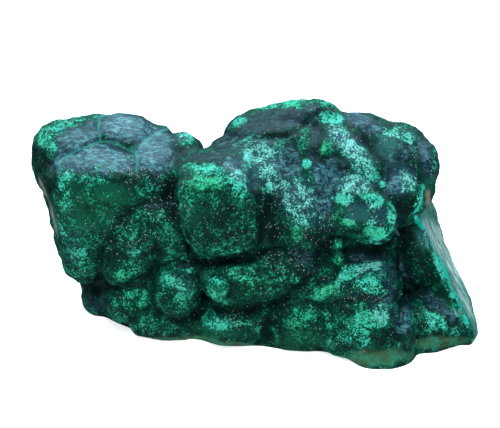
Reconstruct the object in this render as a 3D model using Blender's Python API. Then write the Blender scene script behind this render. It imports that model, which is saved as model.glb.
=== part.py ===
# Malachite specimen: one broken lump of botryoidal malachite that rests on its flat sawn-like base.
# Rounded lobes cover the front, the top and the right shoulder; the left end, the back and the
# right side are fresh breaks.  Units in the tables are millimetres, the model itself is in metres.
# +X runs along the lump, -Y faces the lobed front, +Z is up and the base lies at Z = 0.
import math

import bmesh
import bpy
from mathutils import Euler, Vector

MM = 0.001

SKIN = 0.9                 # cell of the skin that joins the lobes into one solid
SWELL_DEPTH = 1.2          # how far the skin swells and sinks at random
SWELL_SIZE = 8.0           # size of one swell
TRIANGLES = 10700          # about as many as the finished solid keeps
CUTTER = 130.0             # edge of the blocks that make the breaks
MIDDLE = (0.65, 0.3, 0.0)   # middle of the base in the tables' own coordinates

STONE_COLOUR = (0.006, 0.10, 0.075, 1.0)
STONE_ROUGHNESS = 0.35

# Each lobe: centre, half sizes, turn in degrees about X, Y and Z, and squareness.
# Squareness 2 is an ellipsoid; 4 is a pillow with flat sides and round corners.
CORES = {
    "middle": ((-4, 7.5, 21), (33, 15, 21), (0, 0, 0), 3.2),
    "left": ((-35, 8.5, 30), (14.6, 14.5, 15), (0, 0, 0), 3.2),
    "left plateau": ((-35, 6.5, 37), (17.6, 13.5, 9.0), (0, 0, 0), 4.0),
    "left low": ((-28, 7, 11), (13, 13, 13), (0, 0, 0), 3.0),
    "top": ((14, 8, 36), (23, 14, 17.5), (0, 0, 0), 2.8),
    "right": ((24, 5, 16), (16, 14, 18), (0, 0, 0), 3.0),
    "far right": ((38, 7, 30), (7, 8, 12), (0, 0, 0), 2.8),
}
SHOULDER_TOP = {
    "far left": ((-45.6, 11.5, 40.3), (9.9, 11.0, 9.4), (0, 3, 20), 2.6),
    "back middle": ((-40, 15.5, 41.8), (6.5, 7.5, 8.0), (0, 0, 0), 2.5),
    "back": ((-33.0, 13.5, 40.7), (9.4, 10, 9.2), (0, 0, -10), 2.7),
    "back small": ((-24.5, 14.0, 41.0), (5.5, 6.5, 6.5), (0, 10, 0), 2.5),
    "right": ((-25.0, 4.5, 39.6), (8.6, 9.8, 8.2), (4, 0, 0), 2.8),
    "front": ((-36.5, 1.0, 38.4), (9.5, 9.0, 8.8), (8, 0, 6), 2.8),
    "front left": ((-45.5, 1.5, 38.0), (7.0, 8.0, 8.8), (6, -3, 0), 2.7),
    "right back": ((-18.2, 9, 42.0), (5.2, 7.0, 6.3), (0, 25, 0), 2.4),
    "notch": ((-14.9, 6, 39.4), (4.0, 6.0, 6.3), (0, 25, 0), 2.4),
}
SHOULDER_FRONT = {
    "face": ((-38.5, -0.5, 32), (12.5, 7.2, 10.5), (-4, 12, 0), 2.9),
    "face right": ((-25.5, -1.5, 35.5), (6.0, 6.0, 5.5), (0, 10, 0), 2.4),
    "column": ((-42.4, 1.5, 23.8), (7.4, 8.6, 12.6), (0, -3, 0), 2.5),
    "slanting": ((-29.6, -1.6, 25.0), (8.6, 8.2, 12.2), (0, 13, 0), 2.9),
    "slanting foot": ((-32.5, -4.3, 19.0), (5.6, 5.5, 5.4), (0, 20, 0), 2.3),
    "inner": ((-20.5, -2.8, 28.5), (6.5, 7.5, 11), (0, -8, 0), 2.5),
    "low end": ((-38.8, 6.5, 5), (5.4, 7.0, 7.0), (0, 0, 12), 3.0),
    "low left": ((-31, -2.8, 8.8), (8.0, 7.2, 6.6), (0, -10, 10), 2.3),
    "low round": ((-19.5, -7.3, 14), (6.8, 7.5, 7.6), (0, 0, 0), 2.3),
    "low foot": ((-22, -4.2, 4), (10, 7.5, 6), (0, 0, 0), 2.5),
}
CENTRE = {
    "block": ((-8.3, -6.8, 38.2), (10.2, 10.4, 11.7), (-4, -12, 2), 3.6),
    "block shelf": ((-9.4, -1, 43.0), (11.3, 9, 6.5), (-8, -8, 0), 2.7),
    "block right": ((-1.3, -7.4, 36.5), (5.5, 7.5, 9.5), (0, 4, 0), 2.4),
    "belt": ((0.5, -8.4, 20.5), (14.0, 8, 7.8), (0, -6, 3), 2.8),
    "belt right": ((11.5, -8.0, 22.5), (7.0, 7.5, 6.0), (0, -20, 0), 2.4),
    "belt knob": ((-8.3, -12.4, 19.2), (4.6, 5.0, 4.6), (0, 0, 0), 2.2),
    "cleft fill": ((-14.5, -3.4, 20.5), (6.0, 6.0, 7.0), (0, 0, 0), 2.4),
    "belt fill": ((4.0, -6.2, 11.0), (9.0, 7.0, 6.0), (0, 0, 0), 2.6),
    "foot middle": ((-4.5, -7.2, 5.5), (9.5, 7.8, 7.6), (0, 0, 6), 2.4),
    "foot right": ((12, -9.5, 7.5), (8.5, 8, 9.5), (0, 10, 0), 2.4),
    "cheek": ((27.6, -10.5, 15.6), (9.6, 10, 9.2), (0, 6, 6), 2.5),
    "cheek low": ((28, -11.6, 6.4), (13.5, 10.0, 8.6), (0, 0, 0), 2.4),
    "cheek arm": ((17, -9, 18), (8, 7, 6.5), (0, 20, 0), 2.4),
    "bulge": ((32.4, -12.6, -0.6), (9.2, 10.4, 5.6), (0, 0, -4), 2.4),
}
MOUND = {
    "crest": ((7.6, 13.5, 49.0), (14.4, 7.6, 5.6), (0, -16, 0), 2.4),
    "crest slope": ((9.5, 8.6, 46.6), (14.0, 7.6, 5.6), (0, -15, 0), 2.6),
    "crest left": ((-1.6, 12.4, 46.5), (5.6, 6.4, 4.9), (0, -26, 0), 2.4),
    "saddle": ((0, 7, 42.5), (13, 8, 7.2), (0, -6, 8), 2.5),
    "middle slope": ((5.0, 0, 40), (9.5, 9.5, 9), (-10, 8, 20), 2.5),
    "knuckle": ((14, 0.0, 41.2), (7.4, 9.4, 8.5), (0, 0, -15), 2.4),
    "low slope": ((11.6, -5.8, 34.2), (8.4, 8.8, 10.4), (-14, 0, 12), 2.5),
    "slope gap": ((3.5, -6, 31), (6, 7.5, 9), (-10, 0, 0), 2.3),
    "oblong": ((25.0, 2.0, 43.8), (12.6, 7.6, 7.4), (0, 31, -35), 2.4),
    "back ridge": ((27, 10, 45.6), (12.5, 8.5, 7.7), (0, 12, 6), 2.4),
    "back right": ((36.0, 8, 43.8), (8.5, 8.5, 7.7), (0, 20, 0), 2.4),
    "far right": ((40.6, 5.0, 40.3), (5.6, 8.5, 9.0), (0, 6, 0), 2.4),
    "right slope": ((36.5, 0, 37), (7.0, 8, 7.5), (0, 30, -12), 2.4),
    "right fill": ((33.0, 4.2, 41.6), (9.0, 7.5, 6.8), (0, 22, -8), 2.6),
    "paw": ((26.6, -5.0, 37.4), (9.4, 8.6, 8.6), (0, 16, 10), 2.4),
    "paw toe": ((30.0, -7.2, 34.0), (5.6, 5.5, 6.0), (0, 0, 0), 2.3),
    "under paw": ((20, -4, 25), (12, 7, 8), (0, 0, 0), 2.4),
    "knob": ((11.0, -12.6, 31.0), (2.8, 2.6, 3.0), (0, 0, 0), 2.0),
    "small knob": ((21.3, -11.6, 27.8), (2.0, 2.0, 2.4), (0, 0, 0), 2.0),
    "low knob": ((22.3, -12.2, 23.8), (2.0, 2.0, 2.2), (0, 0, 0), 2.0),
}
FIN = {
    "fin foot": ((45.5, -8.0, 4.6), (8, 7.0, 6.6), (0, 0, 0), 2.4),
    "fin inner": ((41.5, 1.0, 17), (5.0, 6.5, 14), (0, -14, 0), 2.4),
}
LOBES = (CORES, SHOULDER_TOP, SHOULDER_FRONT, CENTRE, MOUND, FIN)

# Angular masses, each the tight hull round its points.
BLOCKS = {
    "fin": (
        (40, 3, 35), (45.6, 10, 31), (40, 14, 35), (45.8, 14, 27), (38, 16, 10),
        (41.5, -2.2, 31.8), (45.8, -5.4, 23.2), (50.4, -8.6, 12.0), (56.0, -10.8, 3.0),
        (52.0, 12, 10), (56.2, 9, 2), (41, 0, 10), (42, -5, -2), (42, 16, -2),
        (54.6, -13.3, -2), (58.0, -6, -2), (58.0, 3, -2), (56.8, 9, -2),
    ),
    "plinth": (
        (-44, 4.2, -2), (-37, -1.5, -2), (-29, -7.5, -2), (-17, -10.5, -2), (0, -13.5, -2),
        (20, -16.5, -2), (30, -18, -2), (40, -15.5, -2), (50, -16.4, -2), (54.5, -14.0, -2),
        (57.5, -5, -2), (56, 8, -2), (45, 14, -2), (20, 18, -2), (-10, 20, -2), (-30, 18, -2),
        (-43, 12, -2), (-42, 6.5, 8), (-33, 1, 7), (-15, -6, 7), (0, -9, 7), (20, -12, 7),
        (30, -14, 7), (36, -11, 5), (50, -9, 3), (52, 7, 6), (20, 15, 8), (-10, 18, 8),
        (-30, 15, 8),
    ),
}

# Flat breaks across the whole lump: outward normal and its distance from the tables' zero point.
BACK_BREAKS = {
    "left back": ((-0.22, 0.97, 0.0), 30.1),
    "left corner": ((-0.62, 0.78, -0.12), 42.5),
    "middle back": ((0.02, 0.985, -0.17), 17.2),
    "middle top": ((0.06, 0.95, 0.30), 32.6),
    "right back": ((0.2, 0.975, 0.06), 23.8),
    "low right back": ((0.42, 0.82, -0.38), 25.0),
}
LEFT_BREAK = ((-0.905, -0.40, -0.11), 42.6)
BASE = ((0, 0, -1), 0.0)

# Wide shell-like scoops in the back: centre of the ball that leaves each one, and its radius.
SCOOPS = {
    "right scoop": ((36, 104, 46), 92),
    "left scoop": ((-52, 107, 16), 88),
    "low scoop": ((-6, 92, -8), 78),
}

# The right side broke off under the overhang of the far lobe.  The piece that is missing:
RIGHT_SIDE = (
    (38.2, -20, 33), (45.2, 20, 33), (50.2, -20, 11), (52.4, 20, 11), (56.4, -20, 2.5),
    (59.4, 20, 2.5), (75, -20, 60), (75, 20, 60), (75, -20, 1), (75, 20, 1),
)


def placed(point):
    return (Vector(point) - Vector(MIDDLE)) * MM


def add_lobe(mesh, centre, half_sizes, turn, squareness):
    ball = bmesh.ops.create_icosphere(mesh, subdivisions=4, radius=1.0)
    spin = Euler([math.radians(angle) for angle in turn]).to_matrix()
    for vertex in ball["verts"]:
        way = vertex.co.normalized()
        reach = sum(abs(part) ** squareness for part in way) ** (-1.0 / squareness)
        point = Vector([part * reach * half for part, half in zip(way, half_sizes)])
        vertex.co = placed(spin @ point + Vector(centre))


def add_block(mesh, points):
    corners = [mesh.verts.new(placed(point)) for point in points]
    hull = bmesh.ops.convex_hull(mesh, input=corners)
    inside = [item for item in hull["geom_interior"] if isinstance(item, bmesh.types.BMVert)]
    bmesh.ops.delete(mesh, geom=inside, context="VERTS")


def new_object(name, mesh):
    data = bpy.data.meshes.new(name)
    mesh.to_mesh(data)
    mesh.free()
    item = bpy.data.objects.new(name, data)
    bpy.context.scene.collection.objects.link(item)
    return item


def flat_cutter(name, normal, distance):
    # A cube whose near face lies on the break, so that taking it away leaves that face.
    mesh = bmesh.new()
    bmesh.ops.create_cube(mesh, size=CUTTER)
    outward = Vector(normal).normalized()
    spin = outward.to_track_quat("Z", "Y").to_matrix()
    for vertex in mesh.verts:
        vertex.co = placed(spin @ vertex.co + outward * (distance + CUTTER / 2))
    return new_object(name, mesh)


def ball_cutter(name, centre, radius):
    mesh = bmesh.new()
    ball = bmesh.ops.create_icosphere(mesh, subdivisions=5, radius=radius)
    for vertex in ball["verts"]:
        vertex.co = placed(vertex.co + Vector(centre))
    return new_object(name, mesh)


def block_cutter(name, points):
    mesh = bmesh.new()
    add_block(mesh, points)
    return new_object(name, mesh)


def take_away(item, cutter):
    cutter.hide_render = True
    cutter.display_type = "WIRE"
    cut = item.modifiers.new(cutter.name, "BOOLEAN")
    cut.operation = "DIFFERENCE"
    cut.solver = "EXACT"
    cut.object = cutter


def add_skin(item, name):
    skin = item.modifiers.new(name, "REMESH")
    skin.mode = "VOXEL"
    skin.voxel_size = SKIN * MM
    skin.use_smooth_shade = True


def add_swell(item):
    noise = bpy.data.textures.new("swell", "CLOUDS")
    noise.noise_scale = SWELL_SIZE * MM
    noise.noise_depth = 1
    swell = item.modifiers.new("Swell", "DISPLACE")
    swell.texture = noise
    swell.texture_coords = "LOCAL"
    swell.strength = SWELL_DEPTH * MM
    swell.mid_level = 0.5


def triangle_count(item):
    shape = item.evaluated_get(bpy.context.evaluated_depsgraph_get())
    shape.data.calc_loop_triangles()
    return len(shape.data.loop_triangles)


def add_thinning(item):
    before = triangle_count(item)
    thin = item.modifiers.new("Thin", "DECIMATE")
    thin.ratio = TRIANGLES / before
    thin.use_collapse_triangulate = True


def stone_material():
    material = bpy.data.materials.new("malachite")
    material.use_nodes = True
    shader = material.node_tree.nodes["Principled BSDF"]
    shader.inputs["Base Color"].default_value = STONE_COLOUR
    shader.inputs["Roughness"].default_value = STONE_ROUGHNESS
    shader.inputs["Metallic"].default_value = 0.0
    return material


def build_stone():
    mesh = bmesh.new()
    for group in LOBES:
        for centre, half_sizes, turn, squareness in group.values():
            add_lobe(mesh, centre, half_sizes, turn, squareness)
    for points in BLOCKS.values():
        add_block(mesh, points)
    stone = new_object("malachite_specimen", mesh)
    stone.data.materials.append(stone_material())
    add_skin(stone, "Skin")
    for name, (normal, distance) in BACK_BREAKS.items():
        take_away(stone, flat_cutter(name, normal, distance))
    for name, (centre, radius) in SCOOPS.items():
        take_away(stone, ball_cutter(name, centre, radius))
    add_swell(stone)
    add_skin(stone, "Swollen skin")
    take_away(stone, flat_cutter("left end", *LEFT_BREAK))
    take_away(stone, block_cutter("right side", RIGHT_SIDE))
    add_thinning(stone)
    take_away(stone, flat_cutter("base", *BASE))
    return stone


for old in list(bpy.data.objects):
    bpy.data.objects.remove(old)
build_stone()
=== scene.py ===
# Malachite specimen: a lobed lump whose wet-looking velvet skin covers the front and the top, and
# whose left end, right side and back are broken through the banded inside.
# Lengths in the tables are millimetres; +X runs along the lump and -Y faces the lobed front.
import math
from functools import partial

import bmesh
import bpy
import numpy as np
from mathutils import Euler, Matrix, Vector, noise


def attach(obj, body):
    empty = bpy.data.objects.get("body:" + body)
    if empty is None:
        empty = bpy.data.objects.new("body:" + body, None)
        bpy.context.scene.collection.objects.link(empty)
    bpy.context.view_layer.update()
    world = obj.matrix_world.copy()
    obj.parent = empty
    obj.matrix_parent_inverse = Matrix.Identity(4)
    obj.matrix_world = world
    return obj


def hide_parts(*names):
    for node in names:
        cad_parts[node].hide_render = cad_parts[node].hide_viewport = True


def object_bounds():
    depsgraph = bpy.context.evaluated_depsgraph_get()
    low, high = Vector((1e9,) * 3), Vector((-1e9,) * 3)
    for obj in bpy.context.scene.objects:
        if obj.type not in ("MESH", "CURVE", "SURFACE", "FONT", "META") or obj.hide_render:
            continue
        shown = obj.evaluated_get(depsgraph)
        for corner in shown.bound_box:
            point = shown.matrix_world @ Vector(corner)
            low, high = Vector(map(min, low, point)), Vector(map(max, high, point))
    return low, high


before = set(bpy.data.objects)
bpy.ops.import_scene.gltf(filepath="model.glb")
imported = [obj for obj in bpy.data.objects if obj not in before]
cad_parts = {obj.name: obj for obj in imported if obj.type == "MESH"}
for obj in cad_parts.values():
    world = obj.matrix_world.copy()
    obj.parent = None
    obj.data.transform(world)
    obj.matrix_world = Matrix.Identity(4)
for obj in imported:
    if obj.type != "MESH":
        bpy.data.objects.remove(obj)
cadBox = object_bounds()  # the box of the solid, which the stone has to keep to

mm = 0.001
stoneNode = "malachite_specimen"

stonePlan = {
    "middle": (0.65, 0.3, 0.0),  # middle of the base in the lobe tables' own coordinates
    "lobeRings": 4,             # how finely the ball that a lobe starts from is divided
    "scoopRings": 5,            # and the ball that leaves a scoop
    "skinCell": 0.5,            # mesh size of the finished skin
    "swellDepth": 1.2,          # slow swelling of the skin
    "swellSize": 8.0,
    "breakBlock": 130.0,        # edge of the blocks that cut the breaks
}

# Each lobe: centre, half sizes, turn in degrees about X, Y and Z, and squareness.
# Squareness 2 is an ellipsoid; 4 is a pillow with flat sides and round corners.
cores = {
    "middle": ((-4, 7.5, 21), (33, 15, 21), (0, 0, 0), 3.2),
    "left": ((-35, 8.5, 30), (14.6, 14.5, 15), (0, 0, 0), 3.2),
    "left plateau": ((-35, 6.5, 37), (17.6, 13.5, 9.0), (0, 0, 0), 4.0),
    "left low": ((-28, 7, 11), (13, 13, 13), (0, 0, 0), 3.0),
    "top": ((14, 8, 36), (23, 14, 17.5), (0, 0, 0), 2.8),
    "right": ((24, 5, 16), (16, 14, 18), (0, 0, 0), 3.0),
    "far right": ((38, 7, 30), (7, 8, 12), (0, 0, 0), 2.8),
}
shoulderTop = {
    "far left": ((-45.6, 11.5, 40.3), (9.9, 11.0, 9.4), (0, 3, 20), 2.6),
    "back middle": ((-40, 15.5, 41.8), (6.5, 7.5, 8.0), (0, 0, 0), 2.5),
    "back": ((-33.0, 13.5, 40.7), (9.4, 10, 9.2), (0, 0, -10), 2.7),
    "back small": ((-24.5, 14.0, 41.0), (5.5, 6.5, 6.5), (0, 10, 0), 2.5),
    "right": ((-25.0, 4.5, 39.6), (8.6, 9.8, 8.2), (4, 0, 0), 2.8),
    "front": ((-36.5, 1.0, 38.4), (9.5, 9.0, 8.8), (8, 0, 6), 2.8),
    "front left": ((-45.5, 1.5, 38.0), (7.0, 8.0, 8.8), (6, -3, 0), 2.7),
    "right back": ((-18.2, 9, 42.0), (5.2, 7.0, 6.3), (0, 25, 0), 2.4),
    "notch": ((-14.9, 6, 39.4), (4.0, 6.0, 6.3), (0, 25, 0), 2.4),
}
shoulderFront = {
    "face": ((-38.5, -0.5, 32), (12.5, 7.2, 10.5), (-4, 12, 0), 2.9),
    "face right": ((-25.5, -1.5, 35.5), (6.0, 6.0, 5.5), (0, 10, 0), 2.4),
    "column": ((-42.4, 1.5, 23.8), (7.4, 8.6, 12.6), (0, -3, 0), 2.5),
    "slanting": ((-29.6, -1.6, 25.0), (8.6, 8.2, 12.2), (0, 13, 0), 2.9),
    "slanting foot": ((-32.5, -4.3, 19.0), (5.6, 5.5, 5.4), (0, 20, 0), 2.3),
    "inner": ((-20.5, -2.8, 28.5), (6.5, 7.5, 11), (0, -8, 0), 2.5),
    "low end": ((-38.8, 6.5, 5), (5.4, 7.0, 7.0), (0, 0, 12), 3.0),
    "low left": ((-31, -2.8, 8.8), (8.0, 7.2, 6.6), (0, -10, 10), 2.3),
    "low round": ((-19.5, -7.3, 14), (6.8, 7.5, 7.6), (0, 0, 0), 2.3),
    "low foot": ((-22, -4.2, 4), (10, 7.5, 6), (0, 0, 0), 2.5),
}
centreLobes = {
    "block": ((-8.3, -6.8, 38.2), (10.2, 10.4, 11.7), (-4, -12, 2), 3.6),
    "block shelf": ((-9.4, -1, 43.0), (11.3, 9, 6.5), (-8, -8, 0), 2.7),
    "block right": ((-1.3, -7.4, 36.5), (5.5, 7.5, 9.5), (0, 4, 0), 2.4),
    "belt": ((0.5, -8.4, 20.5), (14.0, 8, 7.8), (0, -6, 3), 2.8),
    "belt right": ((11.5, -8.0, 22.5), (7.0, 7.5, 6.0), (0, -20, 0), 2.4),
    "belt knob": ((-8.3, -12.4, 19.2), (4.6, 5.0, 4.6), (0, 0, 0), 2.2),
    "cleft fill": ((-14.5, -3.4, 20.5), (6.0, 6.0, 7.0), (0, 0, 0), 2.4),
    "belt fill": ((4.0, -6.2, 11.0), (9.0, 7.0, 6.0), (0, 0, 0), 2.6),
    "foot middle": ((-4.5, -7.2, 5.5), (9.5, 7.8, 7.6), (0, 0, 6), 2.4),
    "foot right": ((12, -9.5, 7.5), (8.5, 8, 9.5), (0, 10, 0), 2.4),
    "cheek": ((27.6, -10.5, 15.6), (9.6, 10, 9.2), (0, 6, 6), 2.5),
    "cheek low": ((28, -11.6, 6.4), (13.5, 10.0, 8.6), (0, 0, 0), 2.4),
    "cheek arm": ((17, -9, 18), (8, 7, 6.5), (0, 20, 0), 2.4),
    "bulge": ((32.4, -12.6, -0.6), (9.2, 10.4, 5.6), (0, 0, -4), 2.4),
}
mound = {
    "crest": ((7.6, 13.5, 49.0), (14.4, 7.6, 5.6), (0, -16, 0), 2.4),
    "crest slope": ((9.5, 8.6, 46.6), (14.0, 7.6, 5.6), (0, -15, 0), 2.6),
    "crest left": ((-1.6, 12.4, 46.5), (5.6, 6.4, 4.9), (0, -26, 0), 2.4),
    "saddle": ((0, 7, 42.5), (13, 8, 7.2), (0, -6, 8), 2.5),
    "middle slope": ((5.0, 0, 40), (9.5, 9.5, 9), (-10, 8, 20), 2.5),
    "knuckle": ((14, 0.0, 41.2), (7.4, 9.4, 8.5), (0, 0, -15), 2.4),
    "low slope": ((11.6, -5.8, 34.2), (8.4, 8.8, 10.4), (-14, 0, 12), 2.5),
    "slope gap": ((3.5, -6, 31), (6, 7.5, 9), (-10, 0, 0), 2.3),
    "oblong": ((25.0, 2.0, 43.8), (12.6, 7.6, 7.4), (0, 31, -35), 2.4),
    "back ridge": ((27, 10, 45.6), (12.5, 8.5, 7.7), (0, 12, 6), 2.4),
    "back right": ((36.0, 8, 43.8), (8.5, 8.5, 7.7), (0, 20, 0), 2.4),
    "far right": ((40.6, 5.0, 40.3), (5.6, 8.5, 9.0), (0, 6, 0), 2.4),
    "right slope": ((36.5, 0, 37), (7.0, 8, 7.5), (0, 30, -12), 2.4),
    "right fill": ((33.0, 4.2, 41.6), (9.0, 7.5, 6.8), (0, 22, -8), 2.6),
    "paw": ((26.6, -5.0, 37.4), (9.4, 8.6, 8.6), (0, 16, 10), 2.4),
    "paw toe": ((30.0, -7.2, 34.0), (5.6, 5.5, 6.0), (0, 0, 0), 2.3),
    "under paw": ((20, -4, 25), (12, 7, 8), (0, 0, 0), 2.4),
    "knob": ((11.0, -12.6, 31.0), (2.8, 2.6, 3.0), (0, 0, 0), 2.0),
    "small knob": ((21.3, -11.6, 27.8), (2.0, 2.0, 2.4), (0, 0, 0), 2.0),
    "low knob": ((22.3, -12.2, 23.8), (2.0, 2.0, 2.2), (0, 0, 0), 2.0),
}
fin = {
    "fin foot": ((45.5, -8.0, 4.6), (8, 7.0, 6.6), (0, 0, 0), 2.4),
    "fin inner": ((41.5, 1.0, 17), (5.0, 6.5, 14), (0, -14, 0), 2.4),
}
lobes = (cores, shoulderTop, shoulderFront, centreLobes, mound, fin)

# Angular masses, each the tight hull round its points.
blocks = {
    "fin": (
        (40, 3, 35), (45.6, 10, 31), (40, 14, 35), (45.8, 14, 27), (38, 16, 10),
        (41.5, -2.2, 31.8), (45.8, -5.4, 23.2), (50.4, -8.6, 12.0), (56.0, -10.8, 3.0),
        (52.0, 12, 10), (56.2, 9, 2), (41, 0, 10), (42, -5, -2), (42, 16, -2),
        (54.6, -13.3, -2), (58.0, -6, -2), (58.0, 3, -2), (56.8, 9, -2),
    ),
    "plinth": (
        (-44, 4.2, -2), (-37, -1.5, -2), (-29, -7.5, -2), (-17, -10.5, -2), (0, -13.5, -2),
        (20, -16.5, -2), (30, -18, -2), (40, -15.5, -2), (50, -16.4, -2), (54.5, -14.0, -2),
        (57.5, -5, -2), (56, 8, -2), (45, 14, -2), (20, 18, -2), (-10, 20, -2), (-30, 18, -2),
        (-43, 12, -2), (-42, 6.5, 8), (-33, 1, 7), (-15, -6, 7), (0, -9, 7), (20, -12, 7),
        (30, -14, 7), (36, -11, 5), (50, -9, 3), (52, 7, 6), (20, 15, 8), (-10, 18, 8),
        (-30, 15, 8),
    ),
}

# Flat breaks across the whole lump: outward normal and its distance from the tables' zero point.
backBreaks = {
    "left back": ((-0.22, 0.97, 0.0), 30.1),
    "left corner": ((-0.62, 0.78, -0.12), 42.5),
    "middle back": ((0.02, 0.985, -0.17), 17.2),
    "middle top": ((0.06, 0.95, 0.30), 32.6),
    "right back": ((0.2, 0.975, 0.06), 23.8),
    "low right back": ((0.42, 0.82, -0.38), 25.0),
}
leftBreak = ((-0.905, -0.40, -0.11), 42.6)
base = ((0, 0, -1), 0.0)

# Wide shell-like scoops in the back: centre of the ball that leaves each one, and its radius.
scoops = {
    "right scoop": ((36, 104, 46), 92),
    "left scoop": ((-52, 107, 16), 88),
    "low scoop": ((-6, 92, -8), 78),
}

# The right side broke off under the overhang of the far lobe. The piece that is missing:
rightSide = (
    (38.2, -20, 33), (45.2, 20, 33), (50.2, -20, 11), (52.4, 20, 11), (56.4, -20, 2.5),
    (59.4, 20, 2.5), (75, -20, 60), (75, 20, 60), (75, -20, 1), (75, 20, 1),
)

# The front drawing: a sheet ruled in squares, set square to a sight line that looks down on the
# lobed front.  Grooves and patches of colour are drawn on it and carried back onto the stone.
frontSheet = {
    "aim": (-1.4, -0.3, 31.25),   # point of the stone that the sheet is centred on
    "tilt": 32.0,                  # degrees that the sight line looks down
    "eyeDistance": 600.0,
    "square": 0.25,                # size of one square
    "centre": (250, 214),          # squares across and down to the middle of the sheet
    "facing": (-0.05, 0.2),        # how far skin turns to the sight line as the drawing fades in
}

# Thin pale seams between the flat cells of the shoulder: depth in mm, half width in squares, line.
seams = {
    "cell back": (0.20, 1.1, ((99, 116), (99, 126), (100, 135), (100, 142))),
    "cell front": (0.26, 1.3, ((57, 172), (60, 160), (72, 151), (87, 146), (100, 142), (114, 143),
                               (127, 148), (137, 151))),
    "cell right": (0.26, 1.3, ((137, 151), (141, 144), (150, 137), (160, 131), (168, 129))),
    "cell split": (0.20, 1.1, ((137, 151), (137, 160), (136, 172))),
}

# Grooves on the front, given in the same way.
grooves = {
    "shoulder end": (0.50, 2.6, ((168, 129), (175, 137), (177, 147), (175, 157), (168, 167))),
    # left end and left front
    "end corner": (0.60, 2.8, ((44, 160), (52, 166), (54, 178), (52, 193))),
    "left foot": (0.90, 4.5, ((74, 283), (84, 288), (97, 292))),
    # deep cleft left of the block, and the valleys below it
    "cleft": (1.00, 3.6, ((168, 170), (172, 180), (171, 193), (173, 207), (179, 224), (187, 241),
                          (193, 257), (200, 266))),
    "brow": (0.45, 3.0, ((171, 200), (158, 201), (145, 204), (131, 210), (119, 222), (108, 237),
                         (101, 252), (98, 270), (98, 290))),
    "middle valley": (0.30, 3.6, ((155, 208), (157, 226), (156, 246), (158, 264))),
    "left sill": (0.55, 3.0, ((84, 287), (97, 291), (112, 287), (131, 284), (148, 276), (160, 265),
                              (175, 261), (190, 263), (199, 269))),
    "round side": (0.60, 2.8, ((199, 269), (203, 280), (203, 296), (207, 309))),
    "low split": (0.50, 3.0, ((150, 276), (151, 291), (155, 305), (162, 319))),
    "low corner": (0.50, 3.4, ((97, 291), (102, 303), (108, 318))),
    "round sill": (0.50, 3.4, ((162, 319), (176, 321), (191, 318), (205, 309))),
    # round the block and the belt
    "block sill": (0.80, 3.4, ((197, 260), (213, 263), (236, 260), (256, 256), (270, 250), (300, 249))),
    "block right": (0.50, 3.0, ((228, 152), (240, 161), (250, 177), (255, 194), (261, 212),
                                (263, 232), (260, 252))),
    "block top": (0.30, 2.4, ((176, 172), (188, 161), (204, 157), (222, 156), (236, 161))),
    "belt sill": (0.60, 3.0, ((205, 308), (226, 309), (248, 309), (268, 304), (286, 297),
                              (301, 285), (316, 272), (326, 258))),
    "foot split": (0.60, 3.6, ((275, 303), (277, 318), (282, 334), (281, 345))),
    # the mound
    "crest sill": (0.65, 2.2, ((216, 146), (230, 140), (247, 137), (266, 137), (284, 136), (297, 130),
                               (310, 119), (322, 110), (334, 106))),
    "saddle edge": (0.55, 2.2, ((284, 136), (294, 143), (296, 151), (290, 163), (287, 175))),
    "oblong left": (0.60, 3.0, ((313, 120), (320, 130), (321, 145), (318, 158))),
    "oblong sill": (0.40, 2.6, ((318, 158), (331, 166), (347, 171), (364, 178), (376, 185),
                                (384, 194), (394, 201))),
    "oblong ridge": (0.50, 2.6, ((344, 110), (355, 124), (369, 144), (381, 158), (391, 167),
                                 (390, 177), (384, 190))),
    "brow right": (0.40, 2.8, ((372, 139), (382, 151), (391, 163))),
    "slope left": (0.22, 5.0, ((277, 186), (270, 205), (270, 225), (274, 243))),
    "slope right": (0.50, 5.0, ((322, 188), (320, 205), (318, 225), (322, 245), (316, 268))),
    "far edge": (0.50, 3.2, ((416, 141), (419, 155), (423, 170), (422, 186))),
    # the paw, the cheek and the deep valley beside them
    "paw sill": (0.80, 3.6, ((322, 245), (340, 250), (358, 250), (375, 248), (389, 241), (397, 230))),
    "paw side": (0.60, 3.2, ((394, 201), (399, 214), (401, 230), (400, 245))),
    "paw hollow": (0.60, 5.0, ((349, 210), (356, 213), (362, 216))),
    "belt ring": (0.45, 2.0, ((206, 296), (204, 287), (208, 278), (217, 274), (227, 277), (232, 286),
                              (230, 296), (222, 302))),
    "valley": (1.00, 4.0, ((405, 212), (403, 236), (400, 262), (401, 288), (402, 312), (400, 334))),
    "cheek fold": (0.20, 4.0, ((334, 303), (350, 301), (368, 300), (386, 295))),
    "cheek arm": (0.30, 4.0, ((320, 303), (323, 320), (322, 338))),
    # the fin
    "fin sill": (0.70, 3.2, ((414, 286), (427, 297), (441, 310), (456, 327))),
}

# Crisp raised edges, given in the same way.
ridges = {
    "block brow": (0.45, 3.0, ((184, 168), (198, 163), (214, 161), (231, 164), (243, 176), (252, 196),
                               (256, 212))),
    "shoulder brow": (0.35, 2.6, ((64, 176), (82, 172), (98, 167), (116, 174), (134, 177), (150, 172))),
    "paw rim": (0.70, 3.0, ((362, 200), (374, 198), (386, 203), (393, 213), (393, 225), (387, 234),
                            (377, 237))),
    "paw brow": (0.45, 3.0, ((336, 206), (344, 201), (354, 202), (364, 207), (372, 214))),
    "arm": (0.55, 3.6, ((312, 299), (324, 291), (336, 283), (350, 276))),
    "slant foot": (0.35, 4.0, ((112, 280), (126, 277), (140, 270), (150, 260))),
    "fin edge": (0.45, 2.2, ((416, 216), (427, 235), (438, 257), (448, 280), (458, 302), (470, 324))),
    "valley thread": (0.40, 1.6, ((404, 232), (399, 262), (404, 276), (408, 296), (404, 322))),
}

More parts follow.
